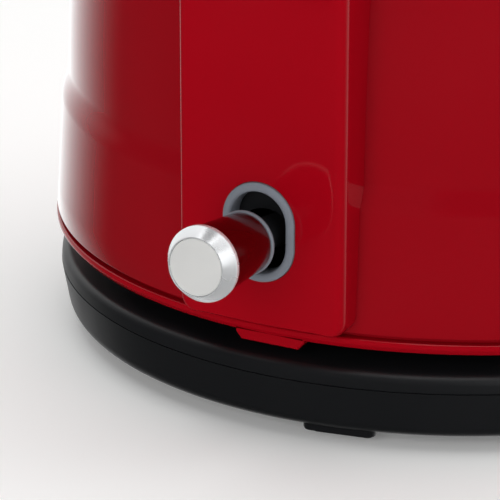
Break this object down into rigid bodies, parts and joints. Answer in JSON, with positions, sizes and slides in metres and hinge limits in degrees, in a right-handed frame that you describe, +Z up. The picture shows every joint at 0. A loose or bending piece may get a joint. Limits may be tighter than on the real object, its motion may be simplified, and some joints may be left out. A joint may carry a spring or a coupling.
{
  "type": "electric jug kettle",
  "caption": "Gloss red cordless jug kettle on a black swivelling power base, with a lever switch through a slotted rear panel, hinged lid, spout and loop handle.",
  "frame": {"origin": "on the table, at the axis of the base connector, about which the jug turns", "axes": "+Z up, +X towards the handle and the switch lever, -X towards the spout"},
  "size_m": [0.222, 0.1616, 0.2176],
  "materials": {
    "red_paint": "high gloss red enamel",
    "red_plastic": "gloss red moulded plastic",
    "black_plastic": "fine satin black moulding",
    "grip_plastic": "satin black moulding",
    "grey_plastic": "mid grey satin moulding",
    "chrome": "bright plated",
    "satin_disc": "off-white satin",
    "stainless": "brushed stainless",
    "screw_steel": "zinc plated",
    "aluminium": "die cast",
    "brass": "stamped",
    "rubber": "soft black",
    "silicone": "translucent white silicone",
    "dark_plastic": "glass filled nylon",
    "acetal": "natural acetal"
  },
  "bodies": {
    "power_base": {"base_bottom_cover": "black_plastic", "base_top_cover": "black_plastic", "base_feet": "rubber", "base_screws": "screw_steel", "cord_gland": "rubber", "cord_clamp": "black_plastic", "base_connector": "black_plastic", "connector_screws": "screw_steel", "live_contact": "brass", "neutral_contact": "brass", "earth_ring": "brass"},
    "coupler": {"socket_cup": "black_plastic", "centre_pin": "brass", "ring_blade": "brass", "earth_band": "brass"},
    "jug": {"body_shell": "red_paint", "rim_ring": "red_plastic", "bottom_cover": "black_plastic", "cover_screws": "screw_steel", "rear_panel": "red_plastic", "slot_bezel": "grey_plastic", "heating_plate": "stainless", "plate_seal": "silicone", "clamp_ring": "stainless", "heat_diffuser": "aluminium", "element_tube": "stainless", "thermostat_control": "dark_plastic", "control_screws": "screw_steel", "bimetal_discs": "stainless", "steam_tube": "silicone", "tube_grommet": "rubber", "switch_bracket": "dark_plastic", "bracket_screws": "screw_steel", "pivot_pin": "stainless", "detent_spring": "stainless", "neck_ring": "chrome", "spout": "red_paint", "filter_frame": "dark_plastic", "filter_mesh": "stainless", "handle_outer": "grip_plastic", "handle_inner": "grip_plastic", "handle_screws": "screw_steel", "hinge_block": "grip_plastic", "hinge_pin": "stainless"},
    "switch_lever": {"switch_arm": "dark_plastic", "lever_knob": "red_plastic", "lever_collar": "grey_plastic", "lever_cap_ring": "chrome", "lever_cap_disc": "satin_disc"},
    "plunger": {"contact_plunger": "acetal"},
    "lid": {"lid_shell": "red_paint", "lid_inner": "dark_plastic", "lid_seal": "silicone", "lid_knob": "grip_plastic", "knob_collar": "chrome", "knob_screw": "screw_steel"}
  },
  "joints": [
    {"name": "jug_lift", "type": "slide", "parent": "power_base", "child": "coupler", "axis": [0, 0, 1], "range_m": [0, 0.03]},
    {"name": "jug_swivel", "type": "hinge", "parent": "coupler", "child": "jug", "pos_m": [0, 0, 0.025], "axis": [0, 0, 1], "continuous": true},
    {"name": "switch_hinge", "type": "hinge", "parent": "jug", "child": "switch_lever", "pos_m": [0.06, 0, 0.0362], "axis": [0, 1, 0], "range_deg": [0, 8.5]},
    {"name": "plunger_slide", "type": "slide", "parent": "jug", "child": "plunger", "axis": [0, 0, 1], "range_m": [0, 0.0018]},
    {"name": "lid_hinge", "type": "hinge", "parent": "jug", "child": "lid", "pos_m": [0.066, 0, 0.1836], "axis": [0, 1, 0], "range_deg": [0, 75]}
  ],
  "couplings": [
    {"joint": "plunger_slide", "follows": "switch_hinge", "m_per_rad": 0.012}
  ]
}
